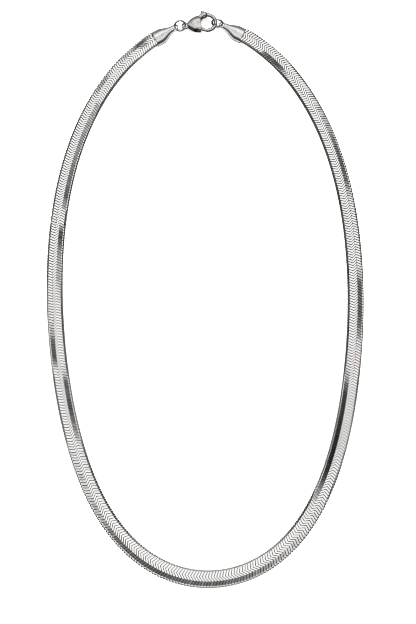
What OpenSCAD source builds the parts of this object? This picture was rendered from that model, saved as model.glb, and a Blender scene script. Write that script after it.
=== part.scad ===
// A herringbone chain necklace that lies closed on a flat surface: a flat band,
// an end cap on each end of it, two jump rings and a lobster clasp.
// X runs across the loop, Y along it towards the clasp, and Z up from the surface.

/* [Loop] */
// Half of the loop's width, along the middle of the band
loop_half_w = 50.4; // [46:0.1:54]
// Half of the loop's length, along the middle of the band
loop_half_l = 92.1; // [86:0.1:98]
// How much wider the loop is below its middle, as a share of its width
egg_share = 0.0275; // [0.015:0.0025:0.04]
// How much fuller the loop is than an ellipse towards its two ends, as a share
full_share = 0.0375; // [0.025:0.0025:0.05]
// How much the loop's upper shoulders are drawn in, as a share
slope_share = 0.022; // [0.01:0.002:0.034]
// How far the clasp lies to the left of the loop's middle
clasp_shift = 0.75; // [0:0.05:1.5]

/* [Band] */
// Width of the flat band
band_w = 5.2; // [4.8:0.1:5.6]
// Thickness of the band along its middle ridge
band_t = 1.15; // [1:0.05:1.3]
// Thickness of the band at its two edges
band_edge_t = 0.8; // [0.7:0.05:0.95]
// Bevel along the edges of the band
band_bevel = 0.2; // [0.1:0.05:0.3]
// Length over which the band climbs to the mouth of each cap
rise_len = 9; // [7:0.5:12]
// Width of the pinched end that sits in a cap
tongue_w = 4.1; // [3.6:0.1:4.4]
// Thickness of the pinched end
tongue_t = 0.9; // [0.7:0.05:1]
// Length of the pinched end
tongue_len = 2.8; // [2:0.1:3.4]

/* [End caps] */
// Length of a cap from its mouth to the middle of its eye
cap_len = 8.3; // [7.9:0.1:9]
// Width of a cap at its mouth
cap_w = 5.6; // [5.3:0.1:6]
// Height of a cap along its middle
cap_h = 2.7; // [2.55:0.05:2.9]
// Height of a cap's front at its side edges
cap_side_top = 2; // [1.85:0.05:2.15]
// Height of a cap's back at its side edges
cap_side_low = 0.3; // [0.15:0.05:0.4]
// Where the shoulders of a cap begin, measured from its mouth
shoulder_start = 2.2; // [1.8:0.1:2.6]
// Length of the neck, from where the shoulders end to the middle of the eye
neck_len = 1.2; // [1:0.1:1.6]
// Width of the neck
neck_w = 2.4; // [2.2:0.05:2.6]
// Height of the neck's underside above the surface
neck_low = 0.95; // [0.85:0.05:1.05]
// Height of the neck's top above the surface
neck_top = 2.3; // [2.2:0.05:2.4]
// Step from the edge of the back plate in to the edge of the domed front
lip = 0.35; // [0.25:0.05:0.4]
// Depth of the open side seam below the edge of the back plate
seam_depth = 0.8; // [0.7:0.05:0.85]
// Height of the side seam above the surface, at a cap's mouth
seam_z = 0.85; // [0.75:0.05:0.95]
// Height of the side seam above the surface, at a cap's neck
seam_neck_z = 1.3; // [1.2:0.05:1.4]
// Width of the open side seam
seam_w = 0.3; // [0.2:0.05:0.35]
// Thickness of the wire of a cap's eye
eye_wire = 0.54; // [0.5:0.02:0.58]
// Diameter of a cap's eye along the middle of its wire
eye_d = 1.76; // [1.7:0.02:1.9]
// How much flatter the left cap lies than the band's route at its mouth
left_flat = 1.5; // [0:0.25:3]

/* [Jump rings] */
// Thickness of the wire of a jump ring
ring_wire = 0.6; // [0.5:0.02:0.64]
// Diameter of a jump ring along the middle of its wire
ring_d = 3.6; // [3.5:0.05:3.9]
// How steeply the left ring leans
left_lean = 54; // [52:1:60]
// How steeply the right ring stands
right_lean = 80; // [76:1:86]
// Turn of the left ring from the line between the two eyes
left_turn = 6; // [4:1:8]
// Turn of the right ring from the clasp's middle line
right_turn_in = -16; // [-19:1:-13]

/* [Clasp] */
// Thickness of the clasp's body
clasp_t = 3; // [2.9:0.05:3.2]
// Distance from the tail eye to the middle of the hook's ring
hook_out = 7.6; // [7.4:0.1:7.9]
// Diameter of the hook's ring along the middle of its wire
hook_d = 5.9; // [5.7:0.1:6.1]
// Thickness of the hook's wire
hook_wire = 1.2; // [1.1:0.05:1.3]
// Side on which the right jump ring pulls on the hook
pull_turn = -20; // [-26:1:-16]
// Width of the clasp's body at its mouth
body_w = 5.8; // [5.5:0.1:6.1]
// Where the body begins, measured from the tail eye
body_start = 0.6; // [0.5:0.05:0.7]
// Length of the body
body_len = 5.1; // [4.9:0.05:5.2]
// Thickness of the body at its tail
tail_t = 1.3; // [1.1:0.1:1.5]
// Height that the body's side edges lose to its rounded faces
body_crown = 0.65; // [0.5:0.05:0.75]
// Thickness of the wire of the tail eye
tail_wire = 0.64; // [0.6:0.02:0.7]
// Diameter of the tail eye along the middle of its wire
tail_d = 1.9; // [1.84:0.02:2]
// Width of the thick root of the hook, which the thumb tab passes through
root_w = 1.4; // [1.3:0.05:1.5]
// Height of the thick root of the hook
root_h = 2.3; // [2.2:0.05:2.5]
// Cut of the corners of the root
root_bevel = 0.3; // [0.2:0.05:0.35]

/* [Clasp lever] */
// Distance from the tail eye to the lever's pin
pin_out = 4.5; // [4.4:0.05:4.6]
// Distance of the lever's pin from the clasp's middle line
pin_side = -0.4; // [-0.5:0.05:-0.3]
// Diameter of the lever's pin
pin_d = 0.8; // [0.7:0.02:0.9]
// Clearance of the lever round its pin
pin_play = 0.05; // [0.03:0.01:0.08]
// Thickness of the lever
lever_t = 1.1; // [1:0.05:1.15]
// Thickness of the round wire at the lever's gate
gate_wire = 1; // [0.9:0.05:1.04]
// Clearance of the lever in its slot, above and below
slot_play = 0.1; // [0.08:0.01:0.12]
// Radius of the lever's hub
hub_r = 1.05; // [0.95:0.05:1.1]
// Width of the thumb tab
tab_w = 0.95; // [0.85:0.05:1]
// Distance from the tail eye to the middle of the thumb knob
knob_out = 6.7; // [6.5:0.1:6.9]
// Distance of the thumb knob from the clasp's middle line
knob_side = 4.25; // [4.1:0.05:4.4]
// Direction from the middle of the hook's ring in which the gate meets the hook
seam_turn = -97; // [-100:1:-94]
// Gap between the gate and the tip of the hook
gate_gap = 0.1; // [0.08:0.01:0.12]

/* [Hidden] */
$fn = 64;

// Overshoot of a cut past the faces that it opens
over = 0.1;
// Clearance that keeps two pieces of the necklace apart
fit = 0.06;

// Rings of the clasp and eyes
eye_z = clasp_t / 2;
ring_r = ring_d / 2;
hook_r = hook_d / 2;
pin_at = [pin_out, pin_side];

// Height of a ring's middle when its lowest point rests on the surface
function ring_height(lean) = ring_r * sin(lean) + ring_wire / 2;
// Shift of a ring's middle in its own plane, above the eye that it passes through
function ring_offset(lean) = (ring_height(lean) - eye_z) / sin(lean);
// Half of the chord that a ring spans at the height of the eyes
function ring_reach(lean) = sqrt(pow(ring_r, 2) - pow(ring_offset(lean), 2));
// Unit step in a direction on the surface
function step_to(turn) = [cos(turn), sin(turn)];

// Chain of places from the left cap's eye, through the clasp, to the right cap's eye
left_chord = 2 * ring_reach(left_lean);
hook_play = ring_r - (ring_wire + hook_wire) / 2 - fit;
hook_side = sqrt(pow(hook_play, 2) - pow(ring_offset(right_lean), 2));
right_chord = hook_side + ring_reach(right_lean);
pull_at = [hook_out, 0] + hook_r * step_to(pull_turn);
eye_from_tail = pull_at + right_chord * step_to(right_turn_in);
tail_rise = left_chord * sin(left_turn);
tail_to_eye = norm(eye_from_tail);
clasp_turn = asin(-tail_rise / tail_to_eye) - atan2(eye_from_tail[1], eye_from_tail[0]);
eye_span = left_chord * cos(left_turn) + sqrt(pow(tail_to_eye, 2) - pow(tail_rise, 2));

// The loop's route: a is 0 at its lowest point and grows towards the clasp on either side
function route_x(a) = loop_half_w * sin(a)
    * (1 + egg_share * cos(a) + full_share * cos(2 * a) + slope_share * cos(3 * a));
function route_y(a) = -loop_half_l * cos(a);
function pace_x(a) = loop_half_w
    * (cos(a) * (1 + egg_share * cos(a) + full_share * cos(2 * a) + slope_share * cos(3 * a))
    - sin(a) * (egg_share * sin(a) + 2 * full_share * sin(2 * a) + 3 * slope_share * sin(3 * a)));
function pace_y(a) = loop_half_l * sin(a);
function heading(a) = atan2(pace_y(a), pace_x(a));
function route(a) = [route_x(a), route_y(a)];

// The place on the route where a cap's eye lies at a given distance from the loop's middle
function eye_off(a, flat) = route_x(a) + cap_len * cos(heading(a) + flat);
function mouth_angle(off, flat = 0, low = 130, high = 178, tries = 30) =
    tries == 0 ? (low + high) / 2
    : eye_off((low + high) / 2, flat) > off ? mouth_angle(off, flat, (low + high) / 2, high, tries - 1)
    : mouth_angle(off, flat, low, (low + high) / 2, tries - 1);
right_a = mouth_angle(eye_span / 2 - clasp_shift);
left_a = mouth_angle(eye_span / 2 + clasp_shift, left_flat);

// Mouths, eyes and directions of the two caps
function flip(p) = [-p[0], p[1]];
right_turn = heading(right_a);
right_mouth = route(right_a);
right_eye = right_mouth + cap_len * step_to(right_turn);
left_cap_turn = 180 - heading(left_a) - left_flat;
left_mouth = flip(route(left_a));
left_eye = left_mouth + cap_len * step_to(left_cap_turn);
span_turn = atan2(right_eye[1] - left_eye[1], right_eye[0] - left_eye[0]);
tail_turn = span_turn + left_turn;
tail_at = left_eye + left_chord * step_to(tail_turn);
clasp_heading = span_turn + clasp_turn;

// Shift that puts the middle of the whole necklace's length at the origin
knob_top = tail_at[1] + knob_out * sin(clasp_heading) + knob_side * cos(clasp_heading) + tab_w / 2;
band_low = -loop_half_l - band_w / 2;
centre_y = (knob_top + band_low) / 2;

// Height of the pinched end's middle above the top of the side seam
tongue_raise = 0.225;
// The band's height above the surface, which climbs to the middle of each mouth
mouth_z = seam_z + seam_w + tongue_raise;
rise_h = mouth_z - band_t / 2;
function ease(share) = (1 + cos(180 * min(1, share))) / 2;
function rise(p) = rise_h * ease(min(norm(p - left_mouth), norm(p - right_mouth)) / rise_len);

// The band's cross-section: a flat back, bevelled edges and two faces that meet in a ridge
function section(w, t, edge_t) = [
    [-w / 2, band_bevel], [-w / 2 + band_bevel, 0], [w / 2 - band_bevel, 0], [w / 2, band_bevel],
    [w / 2, edge_t - band_bevel], [w / 2 - band_bevel, edge_t], [0, t], [-w / 2 + band_bevel, edge_t],
    [-w / 2, edge_t - band_bevel]];
band_section = section(band_w, band_t, band_edge_t);
// Rise of the pinched end's flat top from its edges to its ridge
tongue_ridge = 0.05;
tongue_section = section(tongue_w, tongue_t, tongue_t - tongue_ridge);

// One ring of the band's skin: a section set across the route at a place, direction and height
function skin_ring(at, turn, low, shape) = [for (p = shape)
    [at[0] + p[0] * sin(turn), at[1] - p[0] * cos(turn), low + p[1]]];

band_steps = 120;
tongue_low = mouth_z - tongue_t / 2;
left_end = left_mouth - fit * step_to(left_cap_turn);
right_end = right_mouth - fit * step_to(right_turn);
left_tip = left_mouth + tongue_len * step_to(left_cap_turn);
right_tip = right_mouth + tongue_len * step_to(right_turn);
band_rings = concat(
    [skin_ring(left_tip, left_cap_turn + 180, tongue_low, tongue_section)],
    [skin_ring(left_end, left_cap_turn + 180, tongue_low, tongue_section)],
    [skin_ring(left_end, left_cap_turn + 180, rise_h, band_section)],
    [for (i = [1 : band_steps - 1])
        let (a = -left_a + (left_a + right_a) * i / band_steps)
        skin_ring(route(a), heading(a), rise(route(a)), band_section)],
    [skin_ring(right_end, right_turn, rise_h, band_section)],
    [skin_ring(right_end, right_turn, tongue_low, tongue_section)],
    [skin_ring(right_tip, right_turn, tongue_low, tongue_section)]);

// Sets a piece, made at a place on the surface, in the necklace
module set_at(at, turn = 0, up = 0) {
    translate([at[0], at[1] - centre_y, up])
        rotate(turn)
            children();
}

module chain_band() {
    sides = len(band_section);
    last = len(band_rings) - 1;
    color("silver")
        set_at([0, 0])
            polyhedron(
                points = [for (ring = band_rings, p = ring) p],
                faces = concat(
                    [[for (j = [0 : sides - 1]) j]],
                    [for (i = [0 : last - 1], j = [0 : sides - 1])
                        let (k = (j + 1) % sides)
                        [i * sides + j, (i + 1) * sides + j, (i + 1) * sides + k, i * sides + k]],
                    [[for (j = [0 : sides - 1]) last * sides + sides - 1 - j]]),
                convexity = 10);
}

// Where the shoulders of a cap end and its neck begins
shoulder_end = cap_len - neck_len;
// How far a place along a cap is still from its neck: 1 at the mouth and 0 at the neck
function cap_share(x) = ease(max(0, (x - shoulder_start) / (shoulder_end - shoulder_start)));
cap_steps = 12;
cap_places = concat([0], [for (i = [0 : cap_steps])
    shoulder_start + (shoulder_end - shoulder_start) * i / cap_steps], [cap_len - eye_d / 2]);

// A cap seen from above, with its mouth at 0 and its neck along +X
module cap_plan(inset) {
    half = [for (x = cap_places) neck_w / 2 + (cap_w - neck_w) / 2 * cap_share(x) - inset];
    last = len(cap_places) - 1;
    polygon(concat(
        [for (i = [0 : last]) [cap_places[i], half[i]]],
        [for (i = [last : -1 : 0]) [cap_places[i], -half[i]]]));
}

// A slice of a cap seen from the side: its low and high edge, each at the mouth and at the neck
module cap_slice(low, low_neck, high, high_neck) {
    last = len(cap_places) - 1;
    rotate([90, 0, 0])
        translate([0, 0, -cap_w])
            linear_extrude(2 * cap_w)
                polygon(concat(
                    [for (i = [0 : last]) let (x = cap_places[i])
                        [x, low_neck + (low - low_neck) * cap_share(x)]],
                    [for (i = [last : -1 : 0]) let (x = cap_places[i])
                        [x, high_neck + (high - high_neck) * cap_share(x)]]));
}

// Radius of a rounded face that loses a given height at half of a given width
function crown_radius(half, drop) = (pow(half, 2) + pow(drop, 2)) / (2 * drop);

// A long round bar along X whose top touches a height
module crown_bar(radius, top) {
    translate([-over, 0, top - radius])
        rotate([0, 90, 0])
            cylinder(r = radius, h = cap_len + 2 * over, $fn = 128);
}

module end_cap() {
    top_r = crown_radius(cap_w / 2, cap_h - cap_side_top);
    low_r = crown_radius(cap_w / 2, cap_side_low);
    front_z = seam_z + seam_w;
    front_neck_z = seam_neck_z + seam_w;
    difference() {
        union() {
            intersection() {
                union() {
                    intersection() {
                        linear_extrude(cap_h) cap_plan(0);
                        cap_slice(0, neck_low, seam_z, seam_neck_z);
                    }
                    intersection() {
                        linear_extrude(cap_h) cap_plan(seam_depth);
                        cap_slice(seam_z - over, seam_neck_z - over, front_z + over, front_neck_z + over);
                    }
                    intersection() {
                        linear_extrude(cap_h) cap_plan(lip);
                        cap_slice(front_z, front_neck_z, cap_h, neck_top);
                    }
                }
                crown_bar(top_r, cap_h);
                crown_bar(low_r, 2 * low_r);
            }
            translate([cap_len, 0, eye_z])
                rotate_extrude() translate([eye_d / 2, 0]) circle(d = eye_wire);
        }
        translate([-over, -tongue_w / 2 - fit, tongue_low - fit])
            cube([tongue_len + over + fit, tongue_w + 2 * fit, tongue_t + 2 * fit]);
    }
}

module end_cap_left() {
    color("gainsboro")
        set_at(left_mouth, left_cap_turn)
            end_cap();
}

module end_cap_right() {
    color("gainsboro")
        set_at(right_mouth, right_turn)
            end_cap();
}

// A round ring that leans about the chord on which it hangs, with its lowest point on the surface
module jump_ring(chord_middle, turn, lean) {
    side = (ring_height(lean) - eye_z) / tan(lean);
    at = chord_middle + side * step_to(turn + 90);
    color("lightgray")
        set_at(at, turn, ring_height(lean))
            rotate([lean, 0, 0])
                rotate_extrude() translate([ring_r, 0]) circle(d = ring_wire);
}

module jump_ring_left() {
    jump_ring((left_eye + tail_at) / 2, tail_turn, left_lean);
}

module jump_ring_right() {
    turn = clasp_heading + right_turn_in;
    jump_ring(right_eye - ring_reach(right_lean) * step_to(turn), turn, right_lean);
}

// Sets a piece of the clasp, made with its tail eye at the origin, in its place
module on_clasp() {
    set_at(tail_at, clasp_heading) children();
}

// The clasp's body seen from above: a drop that ends in a slightly bowed mouth
body_end = body_start + body_len;
mouth_bow = 0.25;
mouth_flat_w = 2.85;
body_steps = 14;
// How slowly the drop's sides swell from its tail: 0 at once and 1 in an even curve
body_swell = 0.6;
function body_half(share) = body_w / 2 * pow(sin(90 * share), body_swell);
module body_plan() {
    shares = [for (i = [1 : body_steps]) i / body_steps];
    places = [for (s = shares) body_start + (body_len - mouth_bow) * s];
    polygon(concat(
        [[body_start, 0]],
        [for (i = [0 : body_steps - 1]) [places[i], -body_half(shares[i])]],
        [[body_end, -mouth_flat_w / 2], [body_end, mouth_flat_w / 2]],
        [for (i = [body_steps - 1 : -1 : 0]) [places[i], body_half(shares[i])]]));
}

// The clasp's body seen from the side, which swells smoothly from its thin tail
swell_end = 3.2;
swell_steps = 8;
module body_side() {
    start = body_start + tail_wire / 2;
    places = [for (i = [0 : swell_steps]) start + (swell_end - start) * i / swell_steps];
    half = [for (i = [0 : swell_steps]) (tail_t + (clasp_t - tail_t) * sin(90 * i / swell_steps)) / 2];
    polygon(concat(
        [[0, eye_z - tail_t / 2]],
        [for (i = [0 : swell_steps]) [places[i], eye_z - half[i]]],
        [[body_end + over, 0], [body_end + over, clasp_t]],
        [for (i = [swell_steps : -1 : 0]) [places[i], eye_z + half[i]]],
        [[0, eye_z + tail_t / 2]]));
}

// The part of a ring's sweep from one direction to another, turned from +X
module hook_arc(from, to) {
    translate([hook_out, 0, eye_z])
        rotate(from)
            rotate_extrude(angle = to - from)
                translate([hook_r, 0])
                    children();
}

// Directions in which the hook's root begins in the body and ends beyond the thumb tab
root_from = 140;
root_to = 80;
// How far the hook's round wire reaches into its root
root_lap = 2;
// Direction in which the gate enters the body
gate_from = -150;
// How far the gate and the hook are each made past the seam before it is cut
seam_run = 12;
// Distance from the lever's pin at which the gate meets the tip of the hook
seam_at = [hook_out, 0] + hook_r * step_to(seam_turn);
seam_r = norm(seam_at - pin_at);
// Clearance round the lever's hub
hub_play = 0.3;
// The slot that the lever swings in, from cheek to cheek
slot_h = lever_t + 2 * slot_play;
// Places where the slot begins: behind the hub, at the lower side and at the upper side
slot_back = pin_out - hub_r - hub_play;
slot_low_start = 2.4;
slot_top_start = 3.95;
// Height above the pin up to which the slot stays closed behind the hub
slot_step = 2.1;
slot_end = knob_out + tab_w / 2 + slot_play;

module root_section() {
    x = root_w / 2;
    y = root_h / 2;
    b = root_bevel;
    polygon([[-x, b - y], [b - x, -y], [x - b, -y], [x, b - y],
             [x, y - b], [x - b, y], [b - x, y], [-x, y - b]]);
}

module lever_slot() {
    reach = knob_side + hub_r;
    translate([0, 0, eye_z - slot_h / 2])
        linear_extrude(slot_h)
            polygon([[slot_back, hub_r], [slot_top_start, slot_step], [slot_top_start, reach],
                     [slot_end, reach], [slot_end, -reach], [slot_low_start, -reach],
                     [slot_low_start, -hub_r], [slot_back, pin_side - hub_r]]);
}

// A shallow bite out of the front cheek's lower edge, which bares the slot
bite_r = 1.8;
bite_depth = 0.55;
module front_bite() {
    out = slot_low_start + bite_r - over;
    translate([out, -body_half((out - body_start) / body_len) - bite_r + bite_depth, eye_z])
        cylinder(r = bite_r, h = clasp_t);
}

module clasp_body() {
    body_r = crown_radius(body_w / 2, body_crown);
    color("gainsboro")
        on_clasp()
            union() {
                difference() {
                    union() {
                        intersection() {
                            linear_extrude(clasp_t) body_plan();
                            rotate([90, 0, 0])
                                translate([0, 0, -body_w])
                                    linear_extrude(2 * body_w) body_side();
                            crown_bar(body_r, clasp_t);
                            crown_bar(body_r, 2 * body_r);
                        }
                        hook_arc(root_to, root_from) root_section();
                    }
                    lever_slot();
                    front_bite();
                    translate([pin_out, pin_side, -over])
                        cylinder(d = pin_d, h = clasp_t + 2 * over);
                }
                translate([0, 0, eye_z])
                    rotate_extrude() translate([tail_d / 2, 0]) circle(d = tail_wire);
                difference() {
                    hook_arc(seam_turn - seam_run, root_to + root_lap) circle(d = hook_wire);
                    translate([pin_out, pin_side, 0])
                        cylinder(r = seam_r + gate_gap / 2, h = clasp_t);
                }
            }
}

// The pin is pressed into both cheeks and ends flush just inside their faces
module clasp_pin() {
    sink = 0.1;
    color("darkgray")
        on_clasp()
            translate([pin_out, pin_side, sink])
                cylinder(d = pin_d, h = clasp_t - 2 * sink);
}

// A flat bar with square ends between two places, as thick as the lever
module lever_bar(from, to, width) {
    way = to - from;
    translate([from[0], from[1], -lever_t / 2])
        rotate(atan2(way[1], way[0]))
            translate([0, -width / 2, 0])
                cube([norm(way), width, lever_t]);
}

module clasp_lever() {
    knob_at = [knob_out, knob_side];
    gate_foot = [hook_out, 0] + hook_r * step_to(gate_from);
    foot_w = gate_wire + 2 * slot_play;
    color("lightgray")
        on_clasp()
            difference() {
                union() {
                    translate([pin_out, pin_side, eye_z - lever_t / 2])
                        cylinder(r = hub_r, h = lever_t);
                    translate([knob_out, knob_side, eye_z - lever_t / 2])
                        cylinder(d = tab_w, h = lever_t);
                    translate([0, 0, eye_z]) {
                        lever_bar(pin_at, knob_at, tab_w);
                        lever_bar(pin_at, gate_foot, foot_w);
                    }
                    translate([gate_foot[0], gate_foot[1], eye_z - lever_t / 2])
                        cylinder(d = foot_w, h = lever_t);
                    intersection() {
                        hook_arc(gate_from, seam_turn + seam_run) circle(d = gate_wire);
                        translate([pin_out, pin_side, 0])
                            cylinder(r = seam_r - gate_gap / 2, h = clasp_t);
                    }
                }
                translate([pin_out, pin_side, 0])
                    cylinder(r = pin_d / 2 + pin_play, h = clasp_t);
            }
}

chain_band();
end_cap_left();
end_cap_right();
jump_ring_left();
jump_ring_right();
clasp_body();
clasp_pin();
clasp_lever();
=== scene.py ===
"""A polished steel herringbone chain necklace that lies closed on a pale surface."""

import math

import bmesh
import bpy
from mathutils import Matrix, Vector


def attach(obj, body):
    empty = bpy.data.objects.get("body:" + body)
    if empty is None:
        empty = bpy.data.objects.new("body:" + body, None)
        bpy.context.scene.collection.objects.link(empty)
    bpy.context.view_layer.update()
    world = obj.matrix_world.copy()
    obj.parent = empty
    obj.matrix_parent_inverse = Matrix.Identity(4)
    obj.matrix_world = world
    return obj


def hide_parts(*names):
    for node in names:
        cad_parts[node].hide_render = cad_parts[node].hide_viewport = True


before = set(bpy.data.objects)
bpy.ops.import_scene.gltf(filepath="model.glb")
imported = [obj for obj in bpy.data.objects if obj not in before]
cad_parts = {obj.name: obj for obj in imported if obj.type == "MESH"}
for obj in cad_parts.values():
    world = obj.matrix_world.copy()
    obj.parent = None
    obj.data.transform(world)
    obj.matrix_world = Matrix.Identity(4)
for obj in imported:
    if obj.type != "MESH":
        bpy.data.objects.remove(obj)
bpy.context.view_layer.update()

# Shapes are drawn in millimetres and scaled to metres when they are placed
MM = 0.001
# How far a cutter stands out beyond the thing that it cuts
spare = 1

# Loop
loop_half_w = 50.4
loop_half_l = 92.1
egg_share = 0.0275
full_share = 0.0375
slope_share = 0.022
clasp_shift = 0.75
centre_y = 1.4477

# Band and its links
band_w = 5.2
band_t = 1.15
band_bevel = 0.2
rise_len = 9
link_pitch = 0.887
link_share = 0.82
leg_share = 0.39
leg_lean = 24
stroke_lean = 43
roll_jitter = 0.2
roll_seed = 7
link_slope = 8.3
stroke_slope = 5
link_top = 1.1
link_bevel = 0.06
core_w = 4.3
core_low = 0.3
core_high = 0.72
table_play = 0.015
pinch = 0.78
full_until = 1.2

# End caps
cap_len = 8.3
cap_w = 5.6
cap_h = 2.7
cap_side_low = 0.3
shoulder_start = 2.2
neck_len = 1.2
neck_w = 2.4
neck_low = 0.95
neck_top = 2.3
lip = 0.5
seam_depth = 0.8
seam_z = 0.85
seam_neck_z = 1.3
seam_w = 0.3
lip_fall = 0.14
dome_drop = 1.25
dome_edge = 0.12
dome_slope = 35
left_flat = 1.5
eye_wire = 0.54
eye_d = 1.76
pocket_len = 2.86
pocket_w = 4.22
pocket_h = 1.02
mouth_z = 1.375

# Jump rings
ring_wire = 0.6
ring_d = 3.6
left_lean = 54
right_lean = 80
left_turn = 6
right_turn_in = -16

# Clasp
clasp_t = 3
eye_z = clasp_t / 2
hook_out = 7.6
hook_d = 5.9
hook_wire = 1.2
pull_turn = -20
ring_play = 0.06
body_w = 5.95
body_swell = 0.6
body_start = 0.6
body_len = 4.8
body_bow = 0.25
body_power = 2.1
body_low_power = 3.4
tail_t = 1.3
swell_end = 3.2
tail_wire = 0.64
tail_d = 1.9
root_w = 1.4
root_h = 2.3
root_from = 140
root_to = 80
pin_out = 4.5
pin_side = -0.4
pin_d = 0.8
pin_sink = 0.1
slot_h = 1.3
knob_out = 6.7
knob_side = 4.25
slot_top_start = 3.95
tab_w = 0.95
tab_start = 2.3
tab_h = 1.1
hub_r = 1.05
seam_turn = -97
gate_gap = 0.1

# Camera, fitted to the photograph
image_w = 416
image_h = 624
sensor_mm = 36
focal_px = 981
camera_away = 314.7
camera_tilt = 14
camera_roll = 0.957
aim = (0.794, -10.824, 0)

# Light: places in the tent, as parts of a unit step towards them, with the brightness there
RING_LIGHT = [(0, 1), (1.03, 1), (1.08, 0.5), (1.13, 0.16), (1.19, 0.05), (1.24, 0.06), (1.34, 1)]
BAR_LIGHT = [(0, 1), (0.135, 1), (0.165, 0.5), (0.195, 0.18), (0.215, 0.03), (0.255, 0), (0.275, 0.3),
             (0.295, 1)]
WALL_LIGHT = [(0.25, 0.05), (0.45, 0.12), (0.62, 0.5), (0.75, 1)]
FAR_LIGHT = [(0.6, 0), (0.8, 0.22)]
TABLE_GLOW = [(0.2, 0), (0.5, 0.08)]
RING_END = [(0.69, 0), (0.74, 1)]
BAR_ENDS = [(0.02, 1), (0.08, 0), (0.36, 0), (0.42, 1)]
# The tent's dark ring: its middle, its half sizes, and how many of these the brightness is set for
tent_ring_at = (0, 0.211, 0)
tent_ring_size = (0.413, 0.515, 1)
tent_ring_limit = 2.5
# The way up that the walls' brightness follows, which leans a little to the far end
wall_lean = (0, 0.1, 0.995)
tent_power = 1.65
table_power = 5
table_light_spread = 150


# Small helpers for nodes, meshes and places

def colour(code):
    """The linear colour of an sRGB hex code."""
    parts = [int(code[i:i + 2], 16) / 255 for i in (1, 3, 5)]
    linear = [c / 12.92 if c <= 0.04045 else ((c + 0.055) / 1.055) ** 2.4 for c in parts]
    return (*linear, 1)


def add(tree, kind, inputs=None, **settings):
    """Adds a node with its settings; each input takes a value, or a link where a socket is given."""
    node = tree.nodes.new(kind)
    for name, value in settings.items():
        setattr(node, name, value)
    for name, value in (inputs or {}).items():
        socket = node.inputs[name]
        if isinstance(value, bpy.types.NodeSocket):
            tree.links.new(value, socket)
        else:
            socket.default_value = value
    return node


def direction(turn):
    """Unit step on the surface in a direction given in degrees."""
    return Vector((math.cos(math.radians(turn)), math.sin(math.radians(turn)), 0))


def placed(at, turn=0, up=0):
    """The place of a shape on the surface, with its turn in degrees."""
    move = Matrix.Translation((at[0], at[1] - centre_y, up))
    return move @ Matrix.Rotation(math.radians(turn), 4, "Z")


def solid(name, points, faces):
    """A mesh object from points in millimetres, with its faces turned outwards."""
    mesh = bpy.data.meshes.new(name)
    mesh.from_pydata([tuple(p) for p in points], [], faces)
    shape = bmesh.new()
    shape.from_mesh(mesh)
    bmesh.ops.recalc_face_normals(shape, faces=shape.faces)
    shape.to_mesh(mesh)
    shape.free()
    thing = bpy.data.objects.new(name, mesh)
    bpy.context.scene.collection.objects.link(thing)
    return thing


def loft(name, rings, closed=False):
    """A skin over rings of equally many points; a closed one has no ends."""
    count = len(rings[0])
    total = len(rings)
    points = [p for ring in rings for p in ring]
    faces = []
    for r in range(total if closed else total - 1):
        near = r * count
        far = (r + 1) % total * count
        for k in range(count):
            n = (k + 1) % count
            faces.append((near + k, near + n, far + n, far + k))
    if not closed:
        faces.append(tuple(range(count)))
        faces.append(tuple(range((total - 1) * count, total * count)))
    return solid(name, points, faces)


def settle(thing):
    """Turns a thing with its modifiers into a plain mesh."""
    bpy.context.view_layer.update()
    ready = thing.evaluated_get(bpy.context.evaluated_depsgraph_get())
    mesh = bpy.data.meshes.new_from_object(ready)
    old = thing.data
    thing.modifiers.clear()
    thing.data = mesh
    bpy.data.meshes.remove(old)


def combine(thing, other, operation):
    """Cuts another solid out of a thing, or joins it to the thing, and drops the other."""
    modifier = thing.modifiers.new(operation.lower(), "BOOLEAN")
    modifier.operation = operation
    modifier.solver = "MANIFOLD"
    modifier.object = other
    settle(thing)
    bpy.data.objects.remove(other)


def block(name, low, high):
    """A plain block between two corners, as a cutter."""
    ring = [(low[1], low[2]), (high[1], low[2]), (high[1], high[2]), (low[1], high[2])]
    return loft(name, [[(x, y, z) for y, z in ring] for x in (low[0], high[0])])


def prism(name, outline, low, high):
    """An outline on the surface drawn up from one height to another, as a cutter."""
    return loft(name, [[(x, y, z) for x, y in outline] for z in (low, high)])


def circle(radius, sides, centre=(0, 0)):
    """Points of a circle in its own plane."""
    turns = [math.tau * k / sides for k in range(sides)]
    return [(centre[0] + radius * math.cos(t), centre[1] + radius * math.sin(t)) for t in turns]


def wire_ring(name, radius, wire, rounds=72, sides=16):
    """A round ring of round wire that lies flat, with its middle at the origin."""
    rings = []
    for k in range(rounds):
        out = direction(360 * k / rounds)
        rings.append([out * (radius + y) + Vector((0, 0, z)) for y, z in circle(wire / 2, sides)])
    return loft(name, rings, closed=True)


def smooth(mesh, crease):
    """Shades a mesh smoothly except across edges sharper than the crease, in degrees."""
    mesh.shade_smooth()
    mesh.set_sharp_from_angle(angle=math.radians(crease))


def hand_in(thing, name, place, material, body, slot, *replaced, crease=38):
    """Places a finished shape, in metres, and gives it its material and body; the slot argument is not
    used.
    """
    thing.name = name
    thing.data.name = name
    thing.data.transform(Matrix.Scale(MM, 4) @ place)
    smooth(thing.data, crease)
    thing.data.materials.clear()
    thing.data.materials.append(material)
    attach(thing, body)
    if replaced:
        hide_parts(*replaced)


# The loop's route: the angle is 0 at the lowest point and grows to the right and up

def route(a):
    """A place on the middle of the band, in the plane of the surface."""
    t = math.radians(a)
    swell = 1 + egg_share * math.cos(t) + full_share * math.cos(2 * t) + slope_share * math.cos(3 * t)
    return Vector((loop_half_w * math.sin(t) * swell, -loop_half_l * math.cos(t), 0))


def heading(a):
    """The direction of the route, in degrees."""
    step = 0.01
    way = route(a + step) - route(a - step)
    return math.degrees(math.atan2(way.y, way.x))


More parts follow.
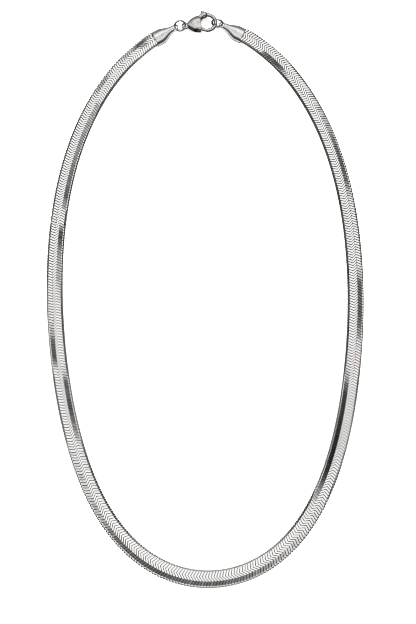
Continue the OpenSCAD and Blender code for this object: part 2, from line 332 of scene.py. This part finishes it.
def mouth_angle(off, flat=0):
    """The angle at which a cap's eye lies at a given distance from the loop's middle."""
    # The angle lies between these two, and each step halves the room between them
    low = 130
    high = 178
    steps = 40
    for _ in range(steps):
        middle = (low + high) / 2
        if route(middle).x + cap_len * direction(heading(middle) + flat).x > off:
            low = middle
        else:
            high = middle
    return (low + high) / 2


def ring_height(lean):
    """Height of a ring's middle when its lowest point rests on the surface."""
    return ring_d / 2 * math.sin(math.radians(lean)) + ring_wire / 2


def ring_offset(lean):
    """Shift of a ring's middle in its own plane above the eye that it passes through."""
    return (ring_height(lean) - eye_z) / math.sin(math.radians(lean))


def ring_reach(lean):
    """Half of the chord that a ring spans at the height of the eyes."""
    return math.sqrt((ring_d / 2) ** 2 - ring_offset(lean) ** 2)


left_chord = 2 * ring_reach(left_lean)
hook_play = ring_d / 2 - (ring_wire + hook_wire) / 2 - ring_play
right_chord = math.sqrt(hook_play ** 2 - ring_offset(right_lean) ** 2) + ring_reach(right_lean)
pull_at = Vector((hook_out, 0, 0)) + direction(pull_turn) * hook_d / 2
eye_from_tail = pull_at + direction(right_turn_in) * right_chord
tail_rise = left_chord * math.sin(math.radians(left_turn))
clasp_turn = math.degrees(math.asin(-tail_rise / eye_from_tail.length)
                          - math.atan2(eye_from_tail.y, eye_from_tail.x))
eye_span = (left_chord * math.cos(math.radians(left_turn))
            + math.sqrt(eye_from_tail.length ** 2 - tail_rise ** 2))

right_a = mouth_angle(eye_span / 2 - clasp_shift)
left_a = mouth_angle(eye_span / 2 + clasp_shift, left_flat)
right_turn = heading(right_a)
right_mouth = route(right_a)
right_eye = right_mouth + direction(right_turn) * cap_len
left_cap_turn = 180 - heading(left_a) - left_flat
left_mouth = route(-left_a)
left_eye = left_mouth + direction(left_cap_turn) * cap_len
span = right_eye - left_eye
span_turn = math.degrees(math.atan2(span.y, span.x))
tail_turn = span_turn + left_turn
tail_at = left_eye + direction(tail_turn) * left_chord
clasp_heading = span_turn + clasp_turn
on_clasp = placed(tail_at, clasp_heading)


# Materials

def steel(name, tint, roughness, wave_mm, wave_depth_mm):
    """Stainless steel: a neutral, slightly warm mirror whose finish comes from how it was worked."""
    # Wear is finer than the waves, and its usual range sets how far the roughness goes down and up
    wave_detail = 2
    wear_detail = 4
    wear_fineness = 3
    wear_low = 0.3
    wear_high = 0.7
    smoothest = 0.8
    roughest = 1.25
    material = bpy.data.materials.new(name)
    material.use_nodes = True
    tree = material.node_tree
    tree.nodes.clear()
    where = add(tree, "ShaderNodeTexCoord").outputs["Object"]
    wave = add(tree, "ShaderNodeTexNoise",
               {"Vector": where, "Scale": 1 / (wave_mm * MM), "Detail": wave_detail})
    bump = add(tree, "ShaderNodeBump", {"Height": wave.outputs["Fac"], "Distance": wave_depth_mm * MM})
    wear = add(tree, "ShaderNodeTexNoise",
               {"Vector": where, "Scale": wear_fineness / (wave_mm * MM), "Detail": wear_detail})
    rough = add(tree, "ShaderNodeMapRange", {
        "Value": wear.outputs["Fac"], "From Min": wear_low, "From Max": wear_high,
        "To Min": roughness * smoothest, "To Max": roughness * roughest})
    shader = add(tree, "ShaderNodeBsdfPrincipled", {
        "Base Color": colour(tint), "Metallic": 1, "Roughness": rough.outputs["Result"],
        "Normal": bump.outputs["Normal"]})
    add(tree, "ShaderNodeOutputMaterial", {"Surface": shader.outputs["BSDF"]})
    return material


# Rolled and polished stainless wire: crisp white bars with almost no waviness
polished_links = steel("polished_stainless_links", "#DCDBD9", 0.05, 0.6, 0.0003)
# The same steel deep between the bars, where no polish reaches: dull, and coloured near black as painted
# shade for the gaps
painted_shade_core = steel("stainless_core_painted_shade", "#3E3C3B", 0.45, 0.3, 0.004)
# Cast stainless, tumbled and polished: a mirror that wavers a little
cast_steel = steel("tumbled_cast_stainless", "#D9D7D5", 0.2, 2.2, 0.0003)
# The clasp's own casting, tumbled longer and duller
dull_steel = steel("dull_cast_stainless", "#C4C2C0", 0.2, 2.2, 0.001)
# Drawn stainless wire, polished: clean long highlights
drawn_wire = steel("polished_stainless_wire", "#BFBDBB", 0.16, 1.2, 0.003)
# The end of a cut pin: matt from the cut
cut_pin = steel("cut_stainless_pin", "#C4C2C0", 0.22, 0.25, 0.003)


# The links: flat Z-shaped bars laid side by side, each rolled a little with its neighbours

# Distance along the band from the left cap, in mm, and the outward roll of the links there, in degrees
ROLLS = [
    (0, 1.0), (11, 1.0), (15, 0.3), (18, 0.0), (21, 0.9), (26, 1.1), (30, 0.0),
    (33, -0.8), (41, -1.15), (50, -1.35), (59, -1.8), (66, -2.1), (70, -1.3), (72, -0.2),
    (76, 0.0), (78, -1.8), (80, -2.5), (83, -2.0), (87, -1.2), (95, -0.95), (99, -0.3),
    (106, 0.1), (110, 0.45), (114, 1.1), (118, 1.9), (121, 1.7), (124, 0.2), (126, -0.5),
    (129, -1.9), (135, -2.2), (139, -2.1), (142, -1.4), (146, -0.7), (150, 0.1), (158, 0.3),
    (165, 0.35), (170, 0.5), (174, 0.7), (178, 1.15), (182, 1.4), (187, 1.5), (192, 1.9),
    (196, 2.0), (203, 1.75), (214, 1.8), (221, 1.65), (226, 1.15), (230, 0.85), (236, 0.45),
    (244, 0.1), (253, -0.05), (257, -1.1), (262, -2.5), (267, -3.2), (278, -3.3), (284, -2.8),
    (288, -2.4), (291, -1.9), (295, -0.7), (299, -0.1), (304, 0.1), (308, 1.05), (312, 1.5),
    (318, 1.65), (324, 1.35), (328, 0.5), (331, -0.2), (350, -0.3), (354, 0.2), (359, 1.4),
    (365, 1.75), (374, 1.3), (382, 0.65), (389, 0.1), (399, -0.2), (402, -0.9), (406, -3.1),
    (412, -3.5), (425, -4.0),
]


def roll_at(along):
    """The links' roll at a distance along the band, in degrees."""
    for (start, first), (end, second) in zip(ROLLS, ROLLS[1:]):
        if along <= end:
            share = max(0, along - start) / (end - start)
            return first + (second - first) * share
    return ROLLS[-1][1]


def rise(place):
    """Height that the band has climbed towards the nearest cap's mouth."""
    away = min((place - left_mouth).length, (place - right_mouth).length)
    return (mouth_z - band_t / 2) * (1 + math.cos(math.pi * min(1, away / rise_len))) / 2


def band_path():
    """Points along the band with the links' roll and pinch at each, from inside one cap to the other."""
    inside = 2.4
    step = 0.4
    rows = []
    count = 900
    flat = [route(-left_a + (left_a + right_a) * k / count) for k in range(count + 1)]
    along = 0
    marks = [0]
    for near, far in zip(flat, flat[1:]):
        along += (far - near).length
        marks.append(along)
    length = marks[-1]
    for k in range(round(inside / step), 0, -1):
        size = pinch if k * step > full_until else 1
        rows.append((left_mouth + direction(left_cap_turn) * k * step, roll_at(0), size))
    for place, mark in zip(flat, marks):
        rows.append((place, roll_at(mark), 1))
    for k in range(1, round(inside / step) + 1):
        size = pinch if k * step > full_until else 1
        rows.append((right_mouth + direction(right_turn) * k * step, roll_at(length), size))
    path = []
    for place, roll, size in rows:
        lift = (band_w / 2 - band_bevel) * math.sin(math.radians(abs(roll)))
        up = band_t / 2 + rise(place) + lift + table_play
        path.append((Vector((place.x, place.y - centre_y, up)), roll, size))
    return path


def link_shape():
    """One link, across the band: two legs that fall to the edges and a reversed stroke between them."""
    half = band_w / 2
    bend = half - leg_share * band_w
    fold = 0.05
    slope = math.tan(math.radians(link_slope))
    step = math.tan(math.radians(stroke_slope))
    stroke_t = bend * math.tan(math.radians(stroke_lean))
    leg_t = (half - bend) * math.tan(math.radians(leg_lean))
    bar = link_pitch * link_share / 2
    # Stations of the outer half: distance from the middle, low face, fall below the slope, share of width
    tip = [(2.585, 0.3, 0.34, 0.8), (2.46, 0.1, 0.21, 0.92), (2.2, 0.03, 0.017, 0.98),
           (1.95, 0.01, 0, 1), (bend + fold, 0, 0, 1), (bend - fold, 0, 0, 1)]
    rings = []
    for side, legs in ((-1, tip), (1, reversed(tip))):
        for away, low, fall, wide in legs:
            off = side * away
            stroke = min(away, bend)
            high = link_top - off / away * stroke * step - (away - stroke) * slope - fall
            t = side * ((away - stroke) / (half - bend) * leg_t - stroke / bend * stroke_t)
            w = bar * wide
            ring = [(-w, low), (w, low), (w, high - link_bevel), (w - link_bevel, high),
                    (link_bevel - w, high), (-w, high - link_bevel)]
            rings.append([(t + x, off, z - band_t / 2) for x, z in ring])
    thing = loft("link", rings)
    thing.data.transform(Matrix.Scale(MM, 4))
    return thing


def path_object(name, path):
    """The band's path as a line of edges that carries each point's roll and pinch."""
    mesh = bpy.data.meshes.new(name)
    mesh.from_pydata([p * MM for p, _, _ in path], [(k, k + 1) for k in range(len(path) - 1)], [])
    roll = mesh.attributes.new("roll", "FLOAT", "POINT")
    size = mesh.attributes.new("size", "FLOAT", "POINT")
    for k, (_, turn, share) in enumerate(path):
        roll.data[k].value = math.radians(turn)
        size.data[k].value = share
    thing = bpy.data.objects.new(name, mesh)
    bpy.context.scene.collection.objects.link(thing)
    return thing


def new_tree(name, *inputs):
    """An empty geometry tree with its named inputs."""
    tree = bpy.data.node_groups.new(name, "GeometryNodeTree")
    tree.interface.new_socket("Geometry", in_out="INPUT", socket_type="NodeSocketGeometry")
    for label, kind in inputs:
        tree.interface.new_socket(label, in_out="INPUT", socket_type=kind)
    tree.interface.new_socket("Geometry", in_out="OUTPUT", socket_type="NodeSocketGeometry")
    return tree


def grow(thing, tree, **values):
    """Runs a geometry tree on a thing with its inputs set by name, and keeps the plain mesh."""
    modifier = thing.modifiers.new(tree.name, "NODES")
    modifier.node_group = tree
    sockets = {s.name: s.identifier for s in tree.interface.items_tree if s.in_out == "INPUT"}
    for name, value in values.items():
        modifier[sockets[name.replace("_", " ")]] = value
    settle(thing)


def link_tree():
    """Starts a tree that spaces points along a path at one pitch, with the path's turn and the links'
    jittered roll at each.
    """
    tree = new_tree("herringbone links", ("Pitch", "NodeSocketFloat"), ("Roll jitter", "NodeSocketFloat"),
                    ("Link", "NodeSocketObject"), ("Finish", "NodeSocketMaterial"))
    given = add(tree, "NodeGroupInput").outputs
    line = add(tree, "GeometryNodeMeshToCurve", {"Mesh": given["Geometry"]})
    even = add(tree, "GeometryNodeResampleCurve",
               {"Curve": line.outputs["Curve"], "Length": given["Pitch"]}, mode="LENGTH")
    way = add(tree, "GeometryNodeInputTangent").outputs["Tangent"]
    yaw = add(tree, "FunctionNodeAlignRotationToVector", {"Vector": way}, axis="X", pivot_axis="Z")
    slope = add(tree, "FunctionNodeAlignRotationToVector",
                {"Rotation": yaw.outputs["Rotation"], "Vector": way}, axis="X", pivot_axis="Y")
    roll = add(tree, "GeometryNodeInputNamedAttribute", {"Name": "roll"}, data_type="FLOAT")
    size = add(tree, "GeometryNodeInputNamedAttribute", {"Name": "size"}, data_type="FLOAT")
    low = add(tree, "ShaderNodeMath", {0: 0.0, 1: given["Roll jitter"]}, operation="SUBTRACT")
    chance = add(tree, "FunctionNodeRandomValue",
                 {"Min": low.outputs[0], "Max": given["Roll jitter"], "Seed": roll_seed},
                 data_type="FLOAT")
    turned = add(tree, "ShaderNodeMath", {0: roll.outputs["Attribute"], 1: chance.outputs["Value"]},
                 operation="ADD")
    return tree, given, even, slope, size, turned


def make_links():
    """All the links as one mesh."""
    tree, given, even, slope, size, turned = link_tree()
    about = add(tree, "FunctionNodeAxisAngleToRotation", {"Axis": (1, 0, 0), "Angle": turned.outputs[0]})
    rolled = add(tree, "FunctionNodeRotateRotation",
                 {"Rotation": slope.outputs["Rotation"], "Rotate By": about.outputs["Rotation"]},
                 rotation_space="LOCAL")
    scale = add(tree, "ShaderNodeCombineXYZ", {"X": 1.0, "Y": size.outputs["Attribute"],
                                               "Z": size.outputs["Attribute"]})
    link = add(tree, "GeometryNodeObjectInfo", {"Object": given["Link"], "As Instance": True})
    string = add(tree, "GeometryNodeInstanceOnPoints", {
        "Points": even.outputs["Curve"], "Instance": link.outputs["Geometry"],
        "Rotation": rolled.outputs["Rotation"], "Scale": scale.outputs["Vector"]})
    real = add(tree, "GeometryNodeRealizeInstances", {"Geometry": string.outputs["Instances"]})
    finish = add(tree, "GeometryNodeSetMaterial", {"Geometry": real.outputs["Geometry"],
                                                   "Material": given["Finish"]})
    add(tree, "NodeGroupOutput", {"Geometry": finish.outputs["Geometry"]})
    link_thing = link_shape()
    thing = path_object("links", band_path())
    grow(thing, tree, Pitch=link_pitch * MM, Roll_jitter=math.radians(roll_jitter), Link=link_thing,
         Finish=polished_links)
    bpy.data.objects.remove(link_thing)
    clip_links(thing)
    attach(thing, "root")
    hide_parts("chain_band")


def clip_links(thing):
    """Ends the full links flush at the caps' mouths, where the narrow ones go on inside."""
    near = 6
    gap = 0.04
    for mouth, turn in ((left_mouth, left_cap_turn), (right_mouth, right_turn)):
        shape = bmesh.new()
        shape.from_mesh(thing.data)
        size = shape.verts.layers.float["size"]
        centre = Vector((mouth.x, mouth.y - centre_y, 0)) * MM
        faces = [f for f in shape.faces if all(v[size] > (1 + pinch) / 2 for v in f.verts)
                 and (f.calc_center_median() - centre).length < near * MM]
        edges = {e for f in faces for e in f.edges}
        verts = {v for f in faces for v in f.verts}
        plane = centre - direction(turn) * gap * MM
        bmesh.ops.bisect_plane(shape, geom=[*verts, *edges, *faces], plane_co=plane,
                               plane_no=direction(turn), clear_outer=True)
        open_edges = [e for e in shape.edges if e.is_boundary]
        bmesh.ops.holes_fill(shape, edges=open_edges, sides=0)
        shape.to_mesh(thing.data)
        shape.free()


def make_core():
    """The links' overlapping inner bodies, seen only as the ground of the gaps, coloured near black as
    painted shade.
    """
    rings = []
    stride = 4
    narrow_len = 2.5
    path = band_path()
    ends = (path[0][0], path[-1][0])
    for k in range(0, len(path), stride):
        place = path[k][0]
        size = pinch if min((place - end).length for end in ends) < narrow_len else 1
        before = path[max(0, k - 1)][0]
        after = path[min(len(path) - 1, k + 1)][0]
        across = (after - before).cross(Vector((0, 0, 1))).normalized()
        half = core_w / 2 * size
        low = (core_low - band_t / 2) * size
        high = (core_high - band_t / 2) * size
        corners = [(-half, low), (half, low), (half, high), (-half, high)]
        rings.append([place + across * y + Vector((0, 0, z)) for y, z in corners])
    thing = loft("band_core", rings)
    hand_in(thing, "band_core", Matrix.Identity(4), painted_shade_core, "root", "band")


# End caps

def ease(share):
    """Falls smoothly from 1 to 0."""
    return (1 + math.cos(math.pi * min(1, max(0, share)))) / 2


def cap_section(x, inset):
    """A cap's outline across its length: back plate with a chamfered lip, side seam and domed front."""
    edge = 0.08
    lip_at_neck = 0.5
    most_drop = 0.6
    corner = dome_edge * 0.3
    share = ease((x - shoulder_start) / (cap_len - neck_len - shoulder_start))
    half = neck_w / 2 + (cap_w - neck_w) / 2 * share - inset
    back_low = neck_low * (1 - share) + inset
    back_top = seam_neck_z + (seam_z - seam_neck_z) * share - inset
    front_low = back_top + seam_w + 2 * inset
    top = neck_top + (cap_h - neck_top) * share - inset
    low_crown = ((cap_w / 2) ** 2 + cap_side_low ** 2) / (2 * cap_side_low)
    front = half - lip * (lip_at_neck + (1 - lip_at_neck) * share)
    web = half - seam_depth
    inner = half / 3
    base = [(y, back_low + low_crown - math.sqrt(low_crown ** 2 - y ** 2)) for y in (inner, half - edge)]
    fall = min(lip_fall, (back_top - base[1][1] - edge) / 2)
    side = [(half, base[1][1] + edge), (half, back_top - fall), (front + edge, back_top), (web, back_top),
            (web, front_low), (front - edge, front_low), (front, front_low + edge)]
    # The front is a round arch whose two sides go on straight down to its edges
    drop = min(dome_drop, (top - front_low) * most_drop)
    slope = min(math.radians(dome_slope), 2 * math.atan(drop / front))
    flank = math.tan(slope)
    bend = (front * flank - drop) / (flank - math.tan(slope / 2))
    arch = bend / math.sin(slope)
    steps = 16
    dome = [(front, top - drop - dome_edge), (front - corner, top - drop - corner)]
    for k in range(1, steps + 1):
        y = (front - dome_edge) * (1 - k / steps)
        round_y = min(y, bend)
        dome.append((y, top - arch + math.sqrt(arch ** 2 - round_y ** 2) - (y - round_y) * flank))
    right = base + side + dome
    left = [(-y, z) for y, z in reversed(right[:-1])]
    return [(x, y, z) for y, z in right + left]


def end_cap(name, node, at, turn):
    """A domed cap with a shoulder, a neck, an eye and a pocket that takes the band."""
    rim = 0.07
    end = cap_len - eye_d / 2
    count = 44
    places = [rim + (end - 2 * rim) * k / count for k in range(count + 1)]
    rings = [cap_section(0, rim)] + [cap_section(x, 0) for x in places] + [cap_section(end, rim)]
    cap = loft(name, rings)
    pocket = block("pocket", (-spare, -pocket_w / 2, mouth_z - pocket_h / 2),
                   (pocket_len, pocket_w / 2, mouth_z + pocket_h / 2))
    combine(cap, pocket, "DIFFERENCE")
    eye = wire_ring("eye", eye_d / 2, eye_wire)
    eye.data.transform(Matrix.Translation((cap_len, 0, eye_z)))
    combine(cap, eye, "UNION")
    hand_in(cap, name, placed(at, turn), cast_steel, "root", "caps", node)


# Jump rings

def jump_ring(name, node, middle, turn, lean):
    """A round ring that leans about the chord on which it hangs."""
    side = (ring_height(lean) - eye_z) / math.tan(math.radians(lean))
    at = middle + direction(turn + 90) * side
    ring = wire_ring(name, ring_d / 2, ring_wire)
    tilt = Matrix.Rotation(math.radians(lean), 4, "X")
    hand_in(ring, name, placed(at, turn, ring_height(lean)) @ tilt, drawn_wire, "root", "rings", node)


# Clasp

def body_ring(x, wide, thick, bow):
    """A rounded outline across the clasp's body, fuller below; a bow sets its sides back."""
    sides = 40
    ring = []
    for k in range(sides):
        t = math.tau * k / sides
        power = 2 / (body_low_power if math.sin(t) < 0 else body_power)
        y = math.copysign(abs(math.cos(t)) ** power, math.cos(t))
        z = math.copysign(abs(math.sin(t)) ** power, math.sin(t))
        ring.append((x - bow * y * y, wide * y, eye_z + thick * z))
    return ring


def body_drop():
    """The drop-shaped body, which swells from its thin tail to a bowed mouth."""
    count = 30
    rim = 0.12
    rings = []
    for k in range(1, count + 1):
        share = k / count
        x = body_start + (body_len - rim) * share
        wide = body_w / 2 * math.sin(math.pi / 2 * share) ** body_swell
        swell = min(1, max(0, (x - body_start) / (swell_end - body_start)))
        thick = (tail_t + (clasp_t - tail_t) * math.sin(math.pi / 2 * swell)) / 2
        rings.append(body_ring(x, wide, thick, body_bow * share))
    rings.append(body_ring(body_start + body_len, body_w / 2 - rim, clasp_t / 2 - rim, body_bow))
    return loft("body", rings)


def hook_sweep(name, sections):
    """A bar that follows the hook's ring; each section has its turn, width, height and squareness."""
    middle = Vector((hook_out, 0, eye_z))
    sides = 20
    rings = []
    for turn, wide, high, power in sections:
        out = direction(turn)
        ring = []
        for k in range(sides):
            t = math.tau * k / sides
            y = math.copysign(abs(math.cos(t)) ** (2 / power), math.cos(t))
            z = math.copysign(abs(math.sin(t)) ** (2 / power), math.sin(t))
            ring.append(middle + out * (hook_d / 2 + wide / 2 * y) + Vector((0, 0, high / 2 * z)))
        rings.append(ring)
    return loft(name, rings)


def lever_slot():
    """The slot that the lever swings in, open at the mouth and at both sides."""
    hub_play = 0.3
    tab_play = 0.1
    top_side = 2.1
    low_start = 2.4
    reach = knob_side + hub_r
    back = pin_out - hub_r - hub_play
    end = knob_out + tab_w / 2 + tab_play
    outline = [(back, hub_r), (slot_top_start, top_side), (slot_top_start, reach), (end, reach),
               (end, -reach), (low_start, -reach), (low_start, -hub_r), (back, pin_side - hub_r)]
    return prism("slot", outline, eye_z - slot_h / 2, eye_z + slot_h / 2)


def round_cutter(name, at, radius, low, high):
    """A round cutter that stands on the surface."""
    sides = 96
    return prism(name, circle(radius, sides, at), low, high)


def clasp_body():
    """The cast body with its root, slot, tail eye and hook."""
    body = body_drop()
    # How the root thins into the hook: degrees before its end, share of the width, share of the height
    thinning = [(12, 1, 1), (8, 0.97, 0.9), (4, 0.92, 0.72), (0, 0.88, 0.58)]
    root_step = 4
    root_power = 3.5
    turns = [(t, 1, 1) for t in range(root_from, root_to + thinning[0][0], -root_step)]
    turns += [(root_to + before, wide, high) for before, wide, high in thinning]
    root = hook_sweep("root", [(t, root_w * wide, root_h * high, root_power) for t, wide, high in turns])
    combine(body, root, "UNION")
    combine(body, lever_slot(), "DIFFERENCE")
    bite_r = 1.4
    bite_depth = 0.55
    bite_x = 3.6
    top = clasp_t + spare
    side = body_w / 2 * math.sin(math.pi / 2 * (bite_x - body_start) / body_len) ** body_swell
    bite_at = (bite_x, -side - bite_r + bite_depth)
    combine(body, round_cutter("bite", bite_at, bite_r, eye_z, top), "DIFFERENCE")
    pin_at = (pin_out, pin_side)
    combine(body, round_cutter("bore", pin_at, pin_d / 2, -spare, top), "DIFFERENCE")
    tail = wire_ring("tail", tail_d / 2, tail_wire)
    tail.data.transform(Matrix.Translation((0, 0, eye_z)))
    combine(body, tail, "UNION")
    # The hook starts inside the root and is cut off round the pin, where the gate begins
    hook_start = root_to + 4
    hook_end = seam_turn - 13
    hook_step = 3
    hook_power = 2
    turns = range(hook_start, hook_end, -hook_step)
    hook = hook_sweep("hook", [(t, hook_wire, hook_wire, hook_power) for t in turns])
    seam_r = seam_radius() + gate_gap / 2
    combine(hook, round_cutter("seam", pin_at, seam_r, -spare, top), "DIFFERENCE")
    combine(body, hook, "UNION")
    hand_in(body, "clasp_body_cast", on_clasp, dull_steel, "root", "clasp", "clasp_body")


def seam_radius():
    """Distance from the lever's pin at which the gate meets the hook."""
    seam_at = Vector((hook_out, 0, 0)) + direction(seam_turn) * hook_d / 2
    return (seam_at - Vector((pin_out, pin_side, 0))).length


def clasp_pin():
    """The pin's ends, slightly domed."""
    dome = 0.06
    play = 0.005
    sides = 40
    # Share of the pin's radius, with the distance back from its end
    profile = [(0.25, 0), (0.8, dome * 0.6), (1, dome)]
    rings = []
    low = pin_sink
    high = clasp_t - pin_sink
    heights = [(share, low + drop) for share, drop in profile]
    heights += [(share, high - drop) for share, drop in reversed(profile)]
    for share, z in heights:
        ring = circle(pin_d / 2 * share - play, sides, (pin_out, pin_side))
        rings.append([(x, y, z) for x, y in ring])
    pin = loft("pin", rings)
    hand_in(pin, "clasp_pin_domed", on_clasp, cut_pin, "root", "pin", "clasp_pin")


def thumb_tab(end):
    """The lever's thumb tab: a round-backed bar with a rounded end, from inside the body outwards."""
    round_len = 0.5
    round_steps = 10
    sides = 24
    turns = [math.radians(90 / round_steps * k) for k in range(1, round_steps + 1)]
    # Distances back from the end, with the share of the full section there
    shares = [(round_len * (1 - math.cos(t)), math.sin(t)) for t in turns]
    rings = []
    for back, share in shares + [(end - tab_start, 1)]:
        ring = circle(share / 2, sides)
        rings.append([(x * tab_w, end - back, eye_z + z * tab_h) for x, z in ring])
    return loft("thumb_tab", rings)


def clasp_lever():
    """The lever as cast: its solid with rounded edges and a round-backed tab for the square one."""
    merge_mm = 0.00001
    round_mm = 0.36
    round_steps = 4
    sharpest = 50
    overlap = 0.1
    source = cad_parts["clasp_lever"]
    mesh = source.data.copy()
    shape = bmesh.new()
    shape.from_mesh(mesh)
    bmesh.ops.remove_doubles(shape, verts=shape.verts, dist=merge_mm * MM)
    shape.to_mesh(mesh)
    shape.free()
    lever = bpy.data.objects.new("lever", mesh)
    bpy.context.scene.collection.objects.link(lever)
    mesh.transform(Matrix.Scale(1 / MM, 4))
    bevel = lever.modifiers.new("edges", "BEVEL")
    bevel.width = round_mm
    bevel.segments = round_steps
    bevel.limit_method = "ANGLE"
    bevel.angle_limit = math.radians(sharpest)
    settle(lever)
    pin_at = Vector((pin_out, pin_side, 0))
    bar = Vector((knob_out, knob_side, 0)) - pin_at
    on_bar = (on_clasp @ Matrix.Translation(pin_at)
              @ Matrix.Rotation(math.atan2(bar.y, bar.x) - math.pi / 2, 4, "Z"))
    cutter = block("cutter", (-tab_w, tab_start + overlap, 0), (tab_w, bar.length + tab_w, clasp_t))
    tab = thumb_tab(bar.length + tab_w / 2)
    for thing, operation in ((cutter, "DIFFERENCE"), (tab, "UNION")):
        thing.data.transform(on_bar)
        combine(lever, thing, operation)
    hand_in(lever, "clasp_lever_cast", Matrix.Identity(4), dull_steel, "lever", "lever", "clasp_lever")


# Scene

def white_floor():
    """A matt white table that goes on far beyond the necklace."""
    half = 3
    # A hair lower than the necklace, in metres too, so that no two faces lie in one plane
    down = -0.00002
    corners = [(-half, -half, 0), (half, -half, 0), (half, half, 0), (-half, half, 0)]
    floor = solid("floor", corners, [(0, 1, 2, 3)])
    floor.data.transform(Matrix.Translation((0, 0, down)))
    material = bpy.data.materials.new("matt_white_paper")
    material.use_nodes = True
    tree = material.node_tree
    tree.nodes.clear()
    shader = add(tree, "ShaderNodeBsdfPrincipled", {"Base Color": colour("#FAFAFA"), "Roughness": 0.9,
                                                   "Specular IOR Level": 0.1})
    add(tree, "ShaderNodeOutputMaterial", {"Surface": shader.outputs["BSDF"]})
    floor.data.materials.append(material)
    floor.visible_glossy = False


def light_tent():
    """A white tent above the necklace with dark openings, which the polished faces mirror."""
    world = bpy.data.worlds.new("light_tent")
    bpy.context.scene.world = world
    world.use_nodes = True
    tree = world.node_tree
    tree.nodes.clear()
    way = add(tree, "ShaderNodeTexCoord").outputs["Generated"]
    parts = add(tree, "ShaderNodeSeparateXYZ", {"Vector": way}).outputs
    # Ring round the tent, open at the far end, which the band's outer half mirrors
    flat = add(tree, "ShaderNodeVectorMath", {0: way, 1: (1, 1, 0)}, operation="MULTIPLY")
    off = add(tree, "ShaderNodeVectorMath", {0: flat.outputs["Vector"], 1: tent_ring_at},
              operation="SUBTRACT")
    wide = add(tree, "ShaderNodeVectorMath", {0: off.outputs["Vector"], 1: tent_ring_size},
               operation="DIVIDE")
    far = add(tree, "ShaderNodeVectorMath", {0: wide.outputs["Vector"]}, operation="LENGTH")
    ring = ramp(tree, far.outputs["Value"], tent_ring_limit, RING_LIGHT)
    ring_end = ramp(tree, parts["Y"], 1, RING_END)
    # Two bars near the middle, which the inner half mirrors
    aside = add(tree, "ShaderNodeMath", {0: parts["X"]}, operation="ABSOLUTE").outputs[0]
    bars = ramp(tree, aside, 1, BAR_LIGHT)
    bar_ends = ramp(tree, parts["Y"], 1, BAR_ENDS)
    # Walls that fall off to dark flags along the table
    dot = add(tree, "ShaderNodeVectorMath", {0: way, 1: wall_lean}, operation="DOT_PRODUCT")
    fall = ramp(tree, dot.outputs["Value"], 1, WALL_LIGHT)
    far_wall = ramp(tree, parts["Y"], 1, FAR_LIGHT)
    walls = add(tree, "ShaderNodeMath", {0: fall, 1: far_wall}, operation="MAXIMUM").outputs[0]
    # The table's own glow, which undersides mirror
    down = add(tree, "ShaderNodeMath", {0: parts["Z"], 1: -1}, operation="MULTIPLY").outputs[0]
    walls = add(tree, "ShaderNodeMath", {0: walls, 1: ramp(tree, down, 1, TABLE_GLOW)},
                operation="MAXIMUM").outputs[0]
    open_ring = add(tree, "ShaderNodeMath", {0: ring, 1: ring_end}, operation="MAXIMUM").outputs[0]
    short_bars = add(tree, "ShaderNodeMath", {0: bars, 1: bar_ends}, operation="MAXIMUM").outputs[0]
    marks = add(tree, "ShaderNodeMath", {0: open_ring, 1: short_bars}, operation="MULTIPLY").outputs[0]
    light = add(tree, "ShaderNodeMath", {0: marks, 1: walls}, operation="MULTIPLY").outputs[0]
    power = add(tree, "ShaderNodeMath", {0: light, 1: tent_power}, operation="MULTIPLY").outputs[0]
    glow = add(tree, "ShaderNodeBackground", {"Strength": power})
    add(tree, "ShaderNodeOutputWorld", {"Surface": glow.outputs["Background"]})


def ramp(tree, value, reach, stops):
    """A brightness that follows a value through stops of value and brightness, up to the reach."""
    share = add(tree, "ShaderNodeMath", {0: value, 1: reach}, operation="DIVIDE")
    node = add(tree, "ShaderNodeValToRGB", {"Fac": share.outputs[0]})
    items = node.color_ramp.elements
    while len(items) < len(stops):
        items.new(0.5)
    for item, (place, light) in zip(items, stops):
        item.position = place / reach
        item.color = (light, light, light, 1)
    return node.outputs["Color"]


def table_light():
    """A very soft light from above that only the matt table shows."""
    data = bpy.data.lights.new("table_light", "SUN")
    data.angle = math.radians(table_light_spread)
    data.energy = table_power
    light = bpy.data.objects.new("table_light", data)
    light.visible_glossy = False
    bpy.context.scene.collection.objects.link(light)


def set_camera():
    """The camera stands above the necklace and leans from the side of its lowest point."""
    tilt = math.radians(camera_tilt)
    up = Vector((math.sin(math.radians(camera_roll)), math.cos(math.radians(camera_roll)), 0))
    lift = Vector((0, 0, 1))
    back = lift * math.cos(tilt) - up * math.sin(tilt)
    top = up * math.cos(tilt) + lift * math.sin(tilt)
    side = top.cross(back)
    data = bpy.data.cameras.new("camera")
    data.sensor_width = sensor_mm
    data.lens = sensor_mm * focal_px / max(image_w, image_h)
    data.clip_start = 0.01
    data.clip_end = 20
    camera = bpy.data.objects.new("camera", data)
    bpy.context.scene.collection.objects.link(camera)
    turn = Matrix((side, top, back)).transposed().to_4x4()
    camera.matrix_world = Matrix.Translation((Vector(aim) + back * camera_away) * MM) @ turn
    bpy.context.scene.camera = camera
    bpy.context.scene.view_settings.view_transform = "Standard"
    bpy.context.scene.cycles.filter_width = 1


set_camera()
light_tent()
table_light()
white_floor()
make_links()
make_core()
end_cap("end_cap_left_cast", "end_cap_left", left_mouth, left_cap_turn)
end_cap("end_cap_right_cast", "end_cap_right", right_mouth, right_turn)
jump_ring("jump_ring_left_wire", "jump_ring_left", (left_eye + tail_at) / 2, tail_turn, left_lean)
pull_way = clasp_heading + right_turn_in
jump_ring("jump_ring_right_wire", "jump_ring_right",
          right_eye - direction(pull_way) * ring_reach(right_lean), pull_way, right_lean)
clasp_body()
clasp_pin()
clasp_lever()
